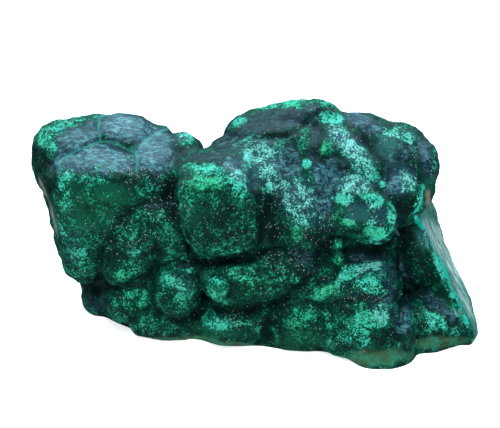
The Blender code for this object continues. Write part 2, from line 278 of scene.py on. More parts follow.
# Bright turquoise veins: half width in squares, strength and line.
veins = {
    "fin edge": (1.9, 1.0, ((416, 217), (427, 234), (439, 257), (448, 280), (457, 302), (468, 323))),
    "fin corner": (1.4, 0.8, ((471, 297), (476, 306), (477, 316))),
    "right chin": (1.3, 0.8, ((424, 187), (421, 201), (414, 213))),
}

# Small buds that stand out of the skin: centre in squares, radius in squares, height in mm.
buds = {
    "hook": (307, 165, 6.0, 0.9),
    "hook tail": (302, 171, 3.5, 0.5),
    "green knob": (297, 233, 8.5, 1.5),
    "pair top": (337, 243, 5.5, 1.0),
    "pair foot": (338, 260, 5.5, 1.0),
    "pair side": (331, 250, 4.0, 0.6),
    "oblong tip": (381, 185, 3.8, 0.7),
    "paw spot": (347, 222, 6.0, 0.8),
    "paw left": (329, 197, 5.0, 0.6),
    "block back": (210, 152, 6.5, 0.7),
    "belt ring": (218, 288, 12.5, 0.9),
    "arm end": (318, 297, 5.0, 0.5),
    "ledge": (99, 168, 7.0, 0.7),
    "ledge low": (104, 175, 5.0, 0.6),
    "ledge right": (123, 177, 4.0, 0.4),
    "face": (107, 195, 3.5, 0.4),
    "middle": (246, 157, 5.5, 0.5),
    "cheek left": (341, 276, 5.0, 0.4),
}

# Patches of colour on the front: centre across and down, half sizes, turn and strength.
# A turn is counted in degrees from across towards down.
patches = {
    # pale, thicker tufts: partly their own paler colour, partly painted sheen and highlights where the
    # fibres catch the light
    "mintSheen": {
        "crest left": (238, 122, 11, 5, -28, 0.70),
        "crest top": (285, 104, 30, 4, -9, 0.75),
        "crest spot": (290, 107, 10, 5, 0, 0.60),
        "crest right": (330, 103, 12, 5, 15, 0.45),
        "saddle": (246, 141, 30, 6, -4, 0.50),
        "middle top": (266, 156, 24, 11, 10, 0.75),
        "middle spot": (247, 157, 6, 6, 0, 0.95),
        "middle low": (268, 180, 22, 15, 30, 0.75),
        "hook": (307, 164, 6, 5, -20, 0.75),
        "hook tail": (312, 177, 5, 10, 20, 0.65),
        "slope": (297, 194, 22, 16, 20, 0.70),
        "slope low": (304, 214, 20, 14, 20, 0.60),
        "green knob": (297, 232, 8, 8, 0, 0.45),
        "block brow": (208, 168, 24, 6, 4, 0.85),
        "block mid": (208, 181, 22, 9, 0, 0.72),
        "block corner": (240, 182, 14, 17, 30, 0.92),
        "block left": (186, 205, 10, 26, -8, 0.30),
        "block face": (222, 216, 32, 26, 0, 0.08),
        "block low": (232, 248, 22, 7, -8, 0.35),
        "oblong top": (327, 118, 17, 8, 10, 0.90),
        "oblong mid": (342, 138, 18, 12, 40, 0.72),
        "oblong low": (357, 156, 16, 13, 35, 0.70),
        "oblong end": (371, 172, 13, 8, 35, 0.72),
        "oblong tip": (384, 184, 5, 4, 0, 0.95),
        "oblong side": (322, 148, 5, 8, 0, 0.75),
        "right brow": (385, 135, 13, 8, 30, 0.62),
        "right cap": (402, 133, 15, 8, 20, 0.42),
        "right streak": (410, 141, 3, 11, -30, 0.85),
        "right low": (402, 180, 17, 14, 20, 0.80),
        "right rim": (421, 192, 5, 13, 10, 0.80),
        "right chin": (417, 206, 6, 7, 30, 0.80),
        "far rim": (434, 160, 4, 18, 0, 0.50),
        "paw top": (352, 184, 24, 14, 10, 0.82),
        "paw left": (341, 199, 18, 6, 10, 0.85),
        "paw ridge": (373, 200, 14, 8, 20, 0.80),
        "paw rim": (392, 215, 5, 16, 0, 0.85),
        "paw low": (376, 236, 16, 9, -15, 0.65),
        "paw inner": (372, 222, 9, 10, 0, 0.60),
        "paw spot": (347, 222, 8, 4, 5, 0.95),
        "paw edge": (328, 221, 12, 8, 0, 0.42),
        "knob top": (337, 242, 6, 9, 0, 0.55),
        "knob low": (338, 260, 6, 6, 0, 0.60),
        "belt ring": (218, 287, 16, 15, 0, 0.55),
        "belt mid": (247, 276, 20, 11, 10, 0.50),
        "belt right": (275, 282, 26, 14, -15, 0.32),
        "column top": (78, 175, 20, 8, 5, 0.55),
        "ledge edge": (104, 168, 22, 6, 5, 0.80),
        "ledge drop": (104, 175, 8, 8, 0, 0.85),
        "face left": (66, 186, 8, 14, 0, 0.55),
        "face spot": (107, 195, 5, 3, 0, 0.80),
        "column mid": (66, 216, 10, 24, 8, 0.45),
        "column low": (80, 252, 16, 22, 0, 0.24),
        "end top": (46, 141, 13, 10, 40, 1.00),
        "end brow": (62, 128, 22, 7, -18, 0.55),
        "back edge": (92, 116, 30, 4, -6, 0.50),
        "far lobe": (186, 139, 9, 9, 40, 0.75),
        "shoulder veins": (166, 176, 12, 5, -20, 0.45),
        "inner top": (150, 214, 22, 10, 0, 0.30),
        "inner face": (170, 238, 14, 18, 0, 0.22),
        "slant face": (130, 238, 22, 26, 0, 0.20),
        "slant low": (127, 274, 18, 8, -15, 0.45),
        "low left": (132, 300, 20, 12, -15, 0.62),
        "low end": (92, 302, 9, 9, 0, 0.20),
        "round": (180, 289, 20, 21, 0, 0.30),
        "round spot": (175, 283, 12, 6, 25, 0.80),
        "round top": (191, 270, 7, 4, 20, 0.75),
        "foot": (158, 326, 20, 9, 5, 0.38),
        "middle foot": (222, 324, 18, 8, 5, 0.50),
        "middle foot right": (246, 328, 18, 9, 0, 0.45),
        "right foot": (303, 324, 20, 20, 0, 0.36),
        "arm low": (330, 318, 9, 14, 0, 0.45),
        "arm": (325, 290, 16, 7, -30, 0.62),
        "arm low edge": (316, 298, 10, 4, 10, 0.50),
        "cheek brow": (368, 266, 18, 6, -12, 0.95),
        "cheek left": (350, 274, 15, 9, -25, 0.85),
        "cheek mid": (368, 284, 18, 12, 0, 0.60),
        "cheek side": (388, 286, 9, 18, 10, 0.42),
        "cheek low": (370, 318, 26, 13, -10, 0.80),
        "cheek foot": (352, 338, 26, 9, 0, 0.60),
        "fin ridge head": (419, 223, 2.5, 12, -30, 0.90),
        "fin ridge top": (429, 243, 4, 16, -26, 0.80),
        "fin ridge": (442, 270, 6.0, 20, -24, 0.90),
        "fin ridge low": (455, 301, 5.5, 18, -27, 0.75),
        "fin ridge end": (466, 321, 4, 9, -28, 0.70),
        "fin corner": (475, 312, 3, 14, -6, 0.70),
        "fin foot": (436, 321, 14, 9, 26, 0.62),
        "fin foot right": (452, 330, 14, 5, 10, 0.50),
    },
    # smooth dark cells: smoother and less tufted, and their bluish colour is partly a painted sky
    # reflection
    "slateSheen": {
        "cell far left": (79, 138, 25, 12, -10, 1.00),
        "cell back": (125, 128, 31, 18, 6, 1.00),
        "cell right": (155, 153, 26, 25, 0, 1.00),
        "cell front": (93, 158, 42, 17, 2, 1.00),
        "crest side": (276, 120, 40, 11, -10, 1.00),
        "crest foot": (232, 136, 26, 6, -12, 0.90),
        "wedge": (316, 140, 6, 16, 0, 0.80),
        "middle left": (252, 178, 12, 20, 30, 0.55),
        "middle side": (286, 166, 13, 18, 15, 0.95),
        "slope right": (322, 200, 9, 20, -10, 0.70),
        "slope flat": (328, 176, 18, 22, -25, 1.00),
        "back ridge": (362, 121, 22, 8, 28, 0.95),
        "right cap": (403, 153, 16, 10, 0, 0.80),
        "far side": (427, 158, 10, 22, -10, 0.95),
        "right valley": (393, 184, 9, 16, 15, 0.95),
        "paw hollow": (355, 213, 13, 7, 20, 0.35),
        "paw ring": (382, 215, 7, 9, 0, 0.40),
        "cheek rim": (367, 258, 25, 5, -3, 0.95),
        "cheek side": (390, 284, 7, 24, 0, 0.80),
        "cheek fold": (360, 297, 20, 6, 0, 0.45),
        "cleft streak top": (401, 262, 2.5, 9, 8, 0.90),
        "cleft streak": (406, 279, 3.5, 10, -15, 0.95),
        "cleft streak low": (408, 294, 3.5, 9, 4, 0.95),
        "cleft pool": (404, 312, 5, 14, 8, 1.00),
        "cleft pool foot": (402, 327, 8, 8, 0, 1.00),
        "fin foot": (433, 301, 18, 8, 42, 1.00),
        "fin foot end": (451, 318, 14, 5, 42, 0.90),
        "belt top": (303, 256, 15, 8, 10, 0.90),
        "inner brow": (157, 205, 20, 4, -5, 0.60),
        "round brow": (184, 266, 14, 3, 5, 0.70),
        "block top": (206, 158, 22, 5, -2, 0.85),
        "block shelf": (226, 163, 14, 8, 30, 0.80),
        "low left brow": (316, 268, 6, 6, 0, 0.50),
    },
    "soft": {
        "face": (112, 194, 20, 11, 10, 0.90),
        "column": (74, 205, 14, 34, 0, 0.55),
        "face low": (95, 218, 25, 14, -25, 0.60),
        "green knob": (296, 234, 8, 7, 0, 0.70),
        "paw hollow": (355, 213, 14, 8, 20, 1.00),
        "block left": (190, 212, 14, 20, 0, 0.40),
        "belt ring": (218, 290, 13, 12, 0, 0.70),
        "middle foot": (215, 332, 30, 6, 4, 0.80),
        "right foot": (300, 340, 30, 8, 3, 0.70),
        "far chin": (430, 185, 9, 10, 0, 0.90),
        "right brow": (386, 146, 13, 14, -30, 0.85),
        "end top": (46, 140, 14, 10, 20, 0.50),
        "fin side": (422, 238, 7, 16, -24, 0.90),
    },
    # painted shade: clefts, recesses, the undersides of lobes and faces turned away from the light
    "paintedShade": {
        "cleft": (169, 196, 9, 22, -5, 0.80),
        "brow shade": (112, 246, 8, 30, 18, 0.50),
        "column foot": (96, 284, 12, 8, 0, 0.90),
        "low end": (90, 295, 10, 14, 0, 0.70),
        "block foot": (228, 262, 46, 4, -2, 0.60),
        "middle recess": (272, 222, 13, 28, 5, 0.80),
        "low recess": (318, 240, 16, 12, 0, 0.60),
        "belt end": (305, 280, 12, 12, 0, 0.75),
        "belt foot": (268, 309, 34, 5, -8, 0.60),
        "foot gap": (270, 328, 10, 18, 0, 0.70),
        "crest foot": (262, 134, 40, 4, 0, 0.60),
        "wedge": (320, 141, 4, 16, 0, 0.70),
        "oblong foot": (334, 163, 18, 6, 25, 0.65),
        "oblong ridge": (372, 150, 32, 5, 47, 0.60),
        "right under": (408, 205, 14, 10, 0, 0.90),
        "far under": (426, 190, 12, 12, 0, 0.70),
        "valley": (405, 258, 9, 50, 0, 0.60),
        "valley foot": (392, 335, 14, 10, 0, 0.80),
        "block face": (222, 226, 34, 24, 0, 0.35),
        "fin side": (420, 274, 12, 30, -18, 0.55),
        "paw under": (365, 250, 34, 8, -5, 0.90),
        "mound edge": (226, 140, 14, 10, -40, 0.80),
        "block gap": (262, 210, 6, 40, 0, 0.70),
        "cheek fold": (365, 299, 26, 5, 0, 0.30),
        "end face": (43, 166, 9, 26, -10, 0.80),
    },
    "emerald": {
        "block mid": (206, 186, 20, 12, 10, 0.90),
        "block left": (190, 186, 10, 18, 0, 0.70),
        "block face": (222, 226, 26, 22, 0, 0.45),
        "ledge": (102, 169, 12, 7, 0, 0.90),
        "face": (108, 196, 22, 18, 0, 0.70),
        "column": (74, 200, 12, 20, 0, 0.35),
        "green knob": (297, 233, 9, 9, 0, 1.00),
        "slant foot": (122, 278, 22, 8, -15, 0.75),
        "low left": (134, 302, 16, 12, -15, 0.60),
        "round": (172, 292, 18, 16, 0, 0.40),
        "belt": (248, 285, 34, 16, -5, 0.55),
        "right foot": (303, 326, 20, 18, 0, 0.60),
        "arm": (322, 292, 18, 8, -30, 0.80),
        "pair": (337, 251, 8, 16, 0, 0.85),
        "paw spot": (345, 220, 14, 8, 10, 0.90),
        "paw foot": (372, 232, 16, 8, 0, 0.60),
        "oblong side": (322, 148, 6, 14, 0, 0.80),
        "oblong ridge": (380, 148, 12, 16, -30, 0.60),
        "cheek": (362, 322, 30, 14, -10, 0.45),
        "fin": (450, 312, 20, 14, 30, 0.60),
        "fin side": (424, 245, 9, 26, -20, 0.20),
        "crest": (300, 104, 34, 6, 5, 0.50),
        "end top": (46, 142, 12, 14, 20, 0.25),
        "bulge": (380, 358, 26, 5, -3, 0.70),
    },
    # painted bluish sky reflection over the skin; the clear film is also glossier there
    "skySheen": {
        "cell far left": (80, 138, 25, 11, -10, 0.80),
        "cell back": (124, 126, 29, 16, 8, 1.00),
        "cell right": (152, 149, 22, 21, -30, 0.95),
        "cell right low": (160, 164, 16, 12, 0, 0.50),
        "cell front": (98, 157, 37, 15, 2, 0.95),
        "cell front low": (68, 164, 16, 10, -10, 0.70),
        "slope": (296, 190, 24, 20, 20, 0.95),
        "slope side": (322, 204, 12, 20, -10, 0.70),
        "slope foot": (304, 212, 26, 16, 20, 0.50),
        "middle": (256, 168, 26, 20, 10, 0.80),
        "oblong low": (362, 162, 20, 14, 35, 0.50),
        "back ridge": (362, 122, 22, 9, 28, 0.50),
        "middle side": (286, 166, 14, 18, 15, 0.60),
        "right brow": (386, 146, 14, 16, -20, 0.60),
        "slope top": (270, 150, 24, 12, 10, 0.60),
        "block corner": (236, 170, 14, 8, 30, 0.80),
        "oblong": (346, 142, 24, 12, 40, 0.85),
        "paw": (354, 184, 22, 12, 10, 0.85),
        "paw front": (362, 212, 24, 12, 10, 0.60),
        "slope flat": (326, 178, 16, 18, -25, 0.90),
        "right valley": (393, 182, 9, 14, 15, 0.50),
        "saddle": (246, 144, 30, 8, -4, 0.40),
        "valley": (401, 226, 7, 20, 0, 0.35),
        "right": (400, 178, 18, 16, 20, 1.00),
        "right cap": (404, 142, 18, 14, 20, 0.50),
        "far side": (427, 158, 10, 20, -10, 0.40),
        "paw ring": (381, 216, 9, 12, 0, 0.50),
        "cheek": (372, 268, 16, 8, -10, 0.70),
        "cheek low": (382, 312, 14, 14, 0, 0.50),
        "column": (74, 250, 10, 22, 0, 0.25),
        "fin pale top": (436, 238, 9, 20, -28, 0.90),
        "fin pale edge": (450, 262, 6, 24, -26, 1.00),
        "fin pale low": (464, 298, 4, 24, -26, 0.60),
        "cleft streak": (404, 278, 3, 18, -8, 0.70),
        "cleft pool": (403, 320, 8, 14, 6, 0.60),
        "fin pool": (440, 306, 20, 7, 42, 0.60),
        "fin side": (422, 238, 7, 14, -24, 0.60),
        "low end": (94, 304, 10, 10, 0, 0.50),
        "left back": (176, 134, 12, 10, 30, 0.60),
        "round": (184, 282, 14, 12, 0, 0.35),
    },
    # painted glints: white dots in the base colour
    "glint": {
        "ledge": (150, 178, 34, 10, 10, 0.70),
        "inner": (165, 212, 26, 14, 0, 0.90),
        "slant": (130, 235, 26, 26, 0, 0.45),
        "block": (232, 225, 30, 26, 0, 0.25),
        "recess": (278, 205, 22, 34, 0, 0.50),
        "belt top": (290, 262, 30, 12, 0, 1.00),
        "middle foot": (240, 318, 20, 8, 8, 1.00),
        "slope low": (318, 222, 26, 26, 0, 0.50),
        "cheek": (350, 292, 30, 18, 0, 0.55),
        "fin foot": (425, 318, 14, 10, 0, 0.60),
    },
    "olive": {
        "bulge": (374, 358, 36, 9, -4, 0.80),
        "fin sole": (438, 343, 28, 6, -4, 0.75),
        "left sole": (200, 339, 18, 4, 5, 0.80),
        "middle sole": (238, 345, 26, 3, 5, 0.70),
        "foot sole": (165, 340, 24, 3, 0, 0.60),
    },
    "bone": {
        "end strip": (43, 188, 2, 12, -24, 0.55),
        "column strip": (54, 220, 1.6, 20, -14, 0.60),
        "column foot": (76, 285, 7, 2, 30, 0.50),
        "fin head": (428, 199, 3, 9, 0, 0.60),
    },
}


def placed(point):
    return (Vector(point) - Vector(stonePlan["middle"])) * mm


def addLobe(mesh, centre, halfSizes, turn, squareness):
    ball = bmesh.ops.create_icosphere(mesh, subdivisions=stonePlan["lobeRings"], radius=1.0)
    spin = Euler([math.radians(angle) for angle in turn]).to_matrix()
    for vertex in ball["verts"]:
        way = vertex.co.normalized()
        reach = sum(abs(part) ** squareness for part in way) ** (-1.0 / squareness)
        point = Vector([part * reach * half for part, half in zip(way, halfSizes)])
        vertex.co = placed(spin @ point + Vector(centre))


def addBlock(mesh, points):
    corners = [mesh.verts.new(placed(point)) for point in points]
    hull = bmesh.ops.convex_hull(mesh, input=corners)
    inside = [item for item in hull["geom_interior"] if isinstance(item, bmesh.types.BMVert)]
    bmesh.ops.delete(mesh, geom=inside, context="VERTS")


def newObject(name, mesh):
    data = bpy.data.meshes.new(name)
    mesh.to_mesh(data)
    mesh.free()
    item = bpy.data.objects.new(name, data)
    bpy.context.scene.collection.objects.link(item)
    return item


def flatCutter(name, normal, distance):
    mesh = bmesh.new()
    bmesh.ops.create_cube(mesh, size=stonePlan["breakBlock"])
    outward = Vector(normal).normalized()
    spin = outward.to_track_quat("Z", "Y").to_matrix()
    for vertex in mesh.verts:
        vertex.co = placed(spin @ vertex.co + outward * (distance + stonePlan["breakBlock"] / 2))
    return newObject(name, mesh)


def ballCutter(name, centre, radius):
    mesh = bmesh.new()
    ball = bmesh.ops.create_icosphere(mesh, subdivisions=stonePlan["scoopRings"], radius=radius)
    for vertex in ball["verts"]:
        vertex.co = placed(vertex.co + Vector(centre))
    return newObject(name, mesh)


def blockCutter(name, points):
    mesh = bmesh.new()
    addBlock(mesh, points)
    return newObject(name, mesh)


def takeAway(item, cutter):
    cut = item.modifiers.new(cutter.name, "BOOLEAN")
    cut.operation = "DIFFERENCE"
    cut.solver = "EXACT"
    cut.object = cutter


def addSkin(item, name):
    skin = item.modifiers.new(name, "REMESH")
    skin.mode = "VOXEL"
    skin.voxel_size = stonePlan["skinCell"] * mm
    skin.use_smooth_shade = True


def addSwell(item):
    cloud = bpy.data.textures.new("swell", "CLOUDS")
    cloud.noise_scale = stonePlan["swellSize"] * mm
    cloud.noise_depth = 1
    swell = item.modifiers.new("Swell", "DISPLACE")
    swell.texture = cloud
    swell.texture_coords = "LOCAL"
    swell.strength = stonePlan["swellDepth"] * mm
    swell.mid_level = 0.5


def settle(item):
    # Swaps an object's modifiers for the mesh that they make.
    made = item.evaluated_get(bpy.context.evaluated_depsgraph_get())
    item.data = bpy.data.meshes.new_from_object(made)
    item.modifiers.clear()


def buildStone():
    mesh = bmesh.new()
    for group in lobes:
        for centre, halfSizes, turn, squareness in group.values():
            addLobe(mesh, centre, halfSizes, turn, squareness)
    for points in blocks.values():
        addBlock(mesh, points)
    stone = newObject("malachiteStone", mesh)
    addSkin(stone, "Skin")
    for name, (normal, distance) in backBreaks.items():
        takeAway(stone, flatCutter(name, normal, distance))
    for name, (centre, radius) in scoops.items():
        takeAway(stone, ballCutter(name, centre, radius))
    addSwell(stone)
    addSkin(stone, "Swollen skin")
    takeAway(stone, flatCutter("left end", *leftBreak))
    takeAway(stone, blockCutter("right side", rightSide))
    addSkin(stone, "Last skin")
    takeAway(stone, flatCutter("base", *base))
    cutters = [step.object for step in stone.modifiers if step.type == "BOOLEAN"]
    settle(stone)
    for cutter in cutters:
        bpy.data.objects.remove(cutter)
    return stone


def readSkin(data):
    # Points in mm and outward normals of a mesh.
    points = np.empty(len(data.vertices) * 3)
    normals = np.empty(len(data.vertices) * 3)
    data.vertices.foreach_get("co", points)
    data.vertex_normals.foreach_get("vector", normals)
    return points.reshape(-1, 3) / mm, normals.reshape(-1, 3)


def cloud(points, size, seed=0.0):
    # Smooth noise from -1 to 1 whose lumps measure about size in mm.
    return np.array([noise.noise(Vector(p) / size + Vector((seed, 0, 0))) for p in points])


def softStep(low, high, values):
    t = np.clip((values - low) / (high - low), 0, 1)
    return t * t * (3 - 2 * t)


def neighbourMean(values, ends, counts):
    total = np.zeros_like(values)
    for axis in range(values.shape[1]):
        total[:, axis] = (np.bincount(ends[:, 0], values[ends[:, 1], axis], len(values))
                          + np.bincount(ends[:, 1], values[ends[:, 0], axis], len(values)))
    return total / counts[:, None]


def roundness(data, points, normals, passes):
    # How far each point stands out from (above 0) or sinks into (below 0) its surroundings, in mm.
    ends = np.empty(len(data.edges) * 2, dtype=np.int64)
    data.edges.foreach_get("vertices", ends)
    ends = ends.reshape(-1, 2)
    counts = np.bincount(ends.ravel(), minlength=len(points)).astype(float)
    smooth = points.copy()
    for count in range(passes):
        smooth = 0.5 * smooth + 0.5 * neighbourMean(smooth, ends, counts)
    return ((points - smooth) * normals).sum(1)


def sightAxes():
    tilt = math.radians(frontSheet["tilt"])
    back = np.array((0, -math.cos(tilt), math.sin(tilt)))
    across = np.array((1.0, 0.0, 0.0))
    return back, across, np.cross(back, across)


def onSheet(points):
    # Squares across and down at which each point shows on the front drawing.
    back, across, up = sightAxes()
    eye = np.array(frontSheet["aim"]) + back * frontSheet["eyeDistance"]
    ray = points - eye
    scale = frontSheet["eyeDistance"] / -(ray @ back) / frontSheet["square"]
    return np.column_stack((frontSheet["centre"][0] + ray @ across * scale,
                            frontSheet["centre"][1] - ray @ up * scale))


def facesFront(points, normals):
    back = sightAxes()[0]
    eye = np.array(frontSheet["aim"]) + back * frontSheet["eyeDistance"]
    ray = eye - points
    ray /= np.linalg.norm(ray, axis=1)[:, None]
    return softStep(*frontSheet["facing"], (ray * normals).sum(1))


def lineReach(squares, line):
    # Distance in squares from each point to a line, and how far along the line it is, from 0 to 1.
    line = np.array(line, float)
    steps = np.diff(line, axis=0)
    lengths = np.linalg.norm(steps, axis=1)
    before = np.concatenate(([0], np.cumsum(lengths)))
    nearest = np.full(len(squares), np.inf)
    along = np.zeros(len(squares))
    for start, step, length, done in zip(line[:-1], steps, lengths, before):
        part = np.clip((squares - start) @ step / length ** 2, 0, 1)
        distance = np.linalg.norm(squares - start - part[:, None] * step, axis=1)
        closer = distance < nearest
        nearest[closer] = distance[closer]
        along[closer] = (done + part * length)[closer] / before[-1]
    return nearest, along


def bell(distance, width):
    return np.exp(-(distance / width) ** 2)


def fadeEnds(along, share):
    # 1 along a line, falling to 0 over a share of it at either end.
    return softStep(0, share, along) * softStep(1, 1 - share, along)


def patchField(squares, wobble, spots):
    # Strength from 0 to 1 of one kind of patch at each point; the wobble frays the patches' edges.
    bare = np.ones(len(squares))
    for x, y, halfWide, halfHigh, turn, strength in spots.values():
        angle = math.radians(turn)
        dx, dy = squares[:, 0] - x, squares[:, 1] - y
        u = (dx * math.cos(angle) + dy * math.sin(angle)) / halfWide
        v = (-dx * math.sin(angle) + dy * math.cos(angle)) / halfHigh
        reach = np.hypot(u, v) + wobble
        bare *= 1 - strength * (1 - softStep(*reliefPlan["patchEdge"], reach))
    return 1 - bare


def shellDepth(points):
    # Depth in mm under the nearest lobe's skin, below 0 outside it: the bands follow this.
    tablePoints = points + np.array(stonePlan["middle"])
    depth = np.full(len(points), -np.inf)
    for group in lobes[1:]:
        for centre, halfSizes, turn, squareness in group.values():
            spin = np.array(Euler([math.radians(angle) for angle in turn]).to_matrix())
            local = np.abs((tablePoints - np.array(centre)) @ spin) / np.array(halfSizes)
            reach = (local ** squareness).sum(1) ** (1 / squareness)
            depth = np.maximum(depth, (1 - reach) * np.mean(halfSizes))
    return depth


breakPlan = {
    # how near a point lies to a break in mm, and how squarely it faces out of it: none, all
    "near": (1.6, 0.9),
    "facing": (0.55, 0.8),
    "freshNear": (1.2, 0.6),     # the same for the newest break
    "freshFacing": (0.7, 0.9),
    "rightward": 0.3,            # least lean to the right of a face of the newest break
    "overhangFade": 0.5,         # height in mm over which that break ends under the overhang
}


def brokenField(points, normals):
    # 1 on the broken faces, 0 on the grown skin.
    tablePoints = points + np.array(stonePlan["middle"])
    broken = np.zeros(len(points))
    for normal, distance in (*backBreaks.values(), base):
        outward = np.array(Vector(normal).normalized())
        gap = np.abs(tablePoints @ outward - distance)
        near = softStep(*breakPlan["near"], gap)
        broken = np.maximum(broken, near * softStep(*breakPlan["facing"], normals @ outward))
    for centre, radius in scoops.values():
        ray = np.array(centre) - tablePoints
        length = np.linalg.norm(ray, axis=1)
        facing = (ray * normals).sum(1) / length
        near = softStep(*breakPlan["near"], np.abs(length - radius))
        broken = np.maximum(broken, near * softStep(*breakPlan["facing"], facing))
    return np.maximum(broken, freshField(points, normals))


def freshField(points, normals):
    # 1 on the newest break, at the right side, whose bands are still pale and glassy.
    tablePoints = points + np.array(stonePlan["middle"])
    fresh = np.zeros(len(points))
    for normal, distance in rightFaces():
        near = softStep(*breakPlan["freshNear"], np.abs(tablePoints @ normal - distance))
        fresh = np.maximum(fresh, near * softStep(*breakPlan["freshFacing"], normals @ normal))
    overhang, fade = rightSide[0][2], breakPlan["overhangFade"]
    return fresh * softStep(overhang + fade, overhang - fade, tablePoints[:, 2])


def rightFaces():
    # Outward normal and distance of the faces that the missing piece left on the right side.
    mesh = bmesh.new()
    corners = [mesh.verts.new(Vector(point)) for point in rightSide]
    bmesh.ops.convex_hull(mesh, input=corners)
    faces = []
    for face in mesh.faces:
        normal = np.array(-face.normal)
        if normal[0] > breakPlan["rightward"]:
            faces.append((normal, float(np.array(face.verts[0].co) @ normal)))
    mesh.free()
    return faces


reliefPlan = {
    # each layer of relief: size in mm of its lumps, height in mm, and seed
    "skinLayers": ((5.0, 0.38, 3.1), (2.4, 0.30, 7.7), (1.1, 0.12, 12.3)),
    "folds": (3.4, 0.55, 17.0),          # sharp-crested folds in the skin
    "breakLayers": ((3.5, 0.35, 21.0), (1.4, 0.16, 33.0)),
    "calmed": 0.8,                       # share of the skin's relief that the slate cells lack
    "ribs": (1.1, 0.10),                 # spacing and height of the fine ribs along a groove
    "uneven": (4.0, 0.5, 61.0),          # change of a line's width: size in mm, share and seed
    "meander": (5.0, 2.2, 51.0, 57.0),   # wandering of a line: size in mm, squares, two seeds
    "patchEdge": (0.55, 1.25),           # shares of a patch's half size where it starts to fade, ends
    "wobble": (3.2, 0.30, 40.0, 44.0),   # fraying of that edge: size in mm, share, two seeds
    "slateFray": 1.6,                    # the slate cells' edges fray more
    "flatFoot": 0.6,                     # height in mm under which the base stays flat
    "roundPasses": 60,                   # smoothing that tells lobes from hollows
    "roundReach": 1.2,                   # mm that a full lobe stands out of that smoothing
}


def layRelief(data):
    points, normals = readSkin(data)
    broken = brokenField(points, normals)
    front = facesFront(points, normals)
    squares = onSheet(points)
    calm = patchField(squares, 0, patches["slateSheen"]) * front
    skin = (1 - broken) * (1 - reliefPlan["calmed"] * calm)
    lift = np.zeros(len(points))
    for size, height, seed in reliefPlan["skinLayers"]:
        lift += skin * height * cloud(points, size, seed)
    size, height, seed = reliefPlan["folds"]
    lift += skin * height * (0.25 - np.abs(cloud(points, size, seed)))
    for x, y, radius, height in buds.values():
        reach = np.hypot(squares[:, 0] - x, squares[:, 1] - y) / radius
        lift += height * np.sqrt(np.clip(1 - reach ** 2, 0, 1)) * front
    for size, height, seed in reliefPlan["breakLayers"]:
        lift += broken * height * cloud(points, size, seed)
    grooveShade, seam, vein = np.zeros((3, len(points)))
    size, strength, *seeds = reliefPlan["meander"]
    for axis, seed in enumerate(seeds):
        squares[:, axis] += strength * cloud(points, size, seed)
    size, strength, seed = reliefPlan["uneven"]
    uneven = 1 + strength * cloud(points, size, seed)
    # a seam is a shallow dip with a thin thread standing in it
    for depth, halfWidth, line in seams.values():
        distance = lineReach(squares, line)[0]
        lift -= depth * bell(distance, 2 * halfWidth) * front
        lift += 0.5 * depth * bell(distance, 0.5 * halfWidth) * front
        seam = np.maximum(seam, bell(distance, 0.6 * halfWidth) * front)
    rim = (1 - 0.4 * broken) * front
    for halfWidth, strength, line in veins.values():
        distance = lineReach(squares, line)[0]
        vein = np.maximum(vein, strength * softStep(1.6, 0.5, distance * uneven / halfWidth) * rim)
    for height, halfWidth, line in ridges.values():
        distance, along = lineReach(squares, line)
        crest = np.exp(-np.abs(distance * uneven / halfWidth))
        lift += height * crest * fadeEnds(along, 0.15) * front
    # a groove is shallower at its ends and a deep one has ribs along its walls; each groove also gets
    # painted shade over the dark depths under the needles, heavier in a deep one
    spacing, height = reliefPlan["ribs"]
    for depth, halfWidth, line in grooves.values():
        distance, along = lineReach(squares, line)
        distance = distance * uneven
        dip = bell(distance, halfWidth) * (0.35 + 0.65 * fadeEnds(along, 0.12)) * front
        rib = np.cos(distance * frontSheet["square"] / spacing * math.tau) * softStep(0.3, 1.0, depth)
        rib *= bell(distance, 2.2 * halfWidth) * front * (1 - calm)
        lift -= depth * dip - height * rib
        grooveShade = np.maximum(grooveShade, dip * min(1.0, 0.35 + 0.5 * depth))
    keepFlat = softStep(0.0, reliefPlan["flatFoot"], points[:, 2])
    points = points + normals * (lift * keepFlat)[:, None]
    low, high = (np.array(corner) / mm for corner in cadBox)
    points = np.clip(points, low, high)
    data.vertices.foreach_set("co", (points * mm).ravel())
    data.update()
    for name, values in (("grooveShade", grooveShade), ("seam", seam), ("vein", vein)):
        putField(data, name, values)


def putField(data, name, values):
    field = data.attributes.new(name, "FLOAT", "POINT")
    field.data.foreach_set("value", values.astype(np.float32))


def layFields(data):
    points, normals = readSkin(data)
    squares = onSheet(points)
    front = facesFront(points, normals)
    size, strength, coarse, fine = reliefPlan["wobble"]
    wobble = strength * (cloud(points, size, coarse) + 0.6 * cloud(points, size / 2.6, fine))
    fray = {"slateSheen": reliefPlan["slateFray"]}
    fields = {kind: patchField(squares, fray.get(kind, 1) * wobble, spots) * front
              for kind, spots in patches.items()}
    stands = roundness(data, points, normals, reliefPlan["roundPasses"]) / reliefPlan["roundReach"]
    fields["front"] = front
    # lobes that stand out get thicker, paler tufts and hollows thinner ones: painted light on the lobes
    # and painted shade in the hollows
    fields["round"] = np.clip(stands, -1, 1)
    fields["shell"] = shellDepth(points)
    fields["fresh"] = freshField(points, normals)
    for name, values in fields.items():
        putField(data, name, values)
    return brokenField(points, normals) * (1 - fields["mintSheen"])  # tufts creep over a break's edge


def assignFaces(data, broken):
    # The skin takes slot 0 and the broken faces slot 1.
    corners = np.empty(len(data.loops), dtype=np.int64)
    data.loops.foreach_get("vertex_index", corners)
    starts = np.empty(len(data.polygons), dtype=np.int64)
    data.polygons.foreach_get("loop_start", starts)
    share = np.add.reduceat(broken[corners], starts) / np.diff(np.append(starts, len(corners)))
    data.polygons.foreach_set("material_index", (share > 0.5).astype(np.int32))


